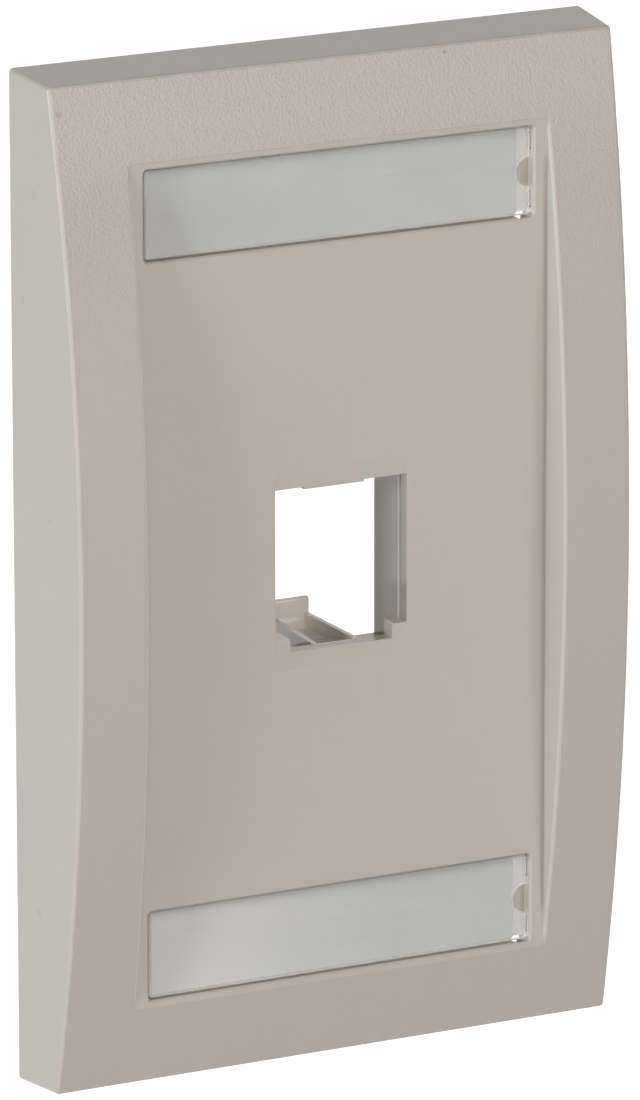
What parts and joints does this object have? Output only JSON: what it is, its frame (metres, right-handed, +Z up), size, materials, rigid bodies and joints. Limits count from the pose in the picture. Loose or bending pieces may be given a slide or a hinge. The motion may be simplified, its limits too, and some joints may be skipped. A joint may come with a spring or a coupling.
{
  "type": "keystone faceplate",
  "caption": "Ivory single-gang wall faceplate with a crowned frame, one keystone jack port and a clear label window above and below it.",
  "frame": {"origin": "centre of the rear rim, midway between the two fixing screws, in the plane that lies on the wall", "axes": "+Z up the long side, +X to the right seen from the front, the front faces -Y"},
  "size_m": [0.07, 0.0182, 0.115],
  "materials": {
    "plate_plastic": "satin, fine grain on the front",
    "window_plastic": "clear polished plastic",
    "card_paper": "plain paper"
  },
  "bodies": {
    "root": {"faceplate": "plate_plastic", "top_window": "window_plastic", "bottom_window": "window_plastic", "top_card": "card_paper", "bottom_card": "card_paper"}
  },
  "joints": []
}
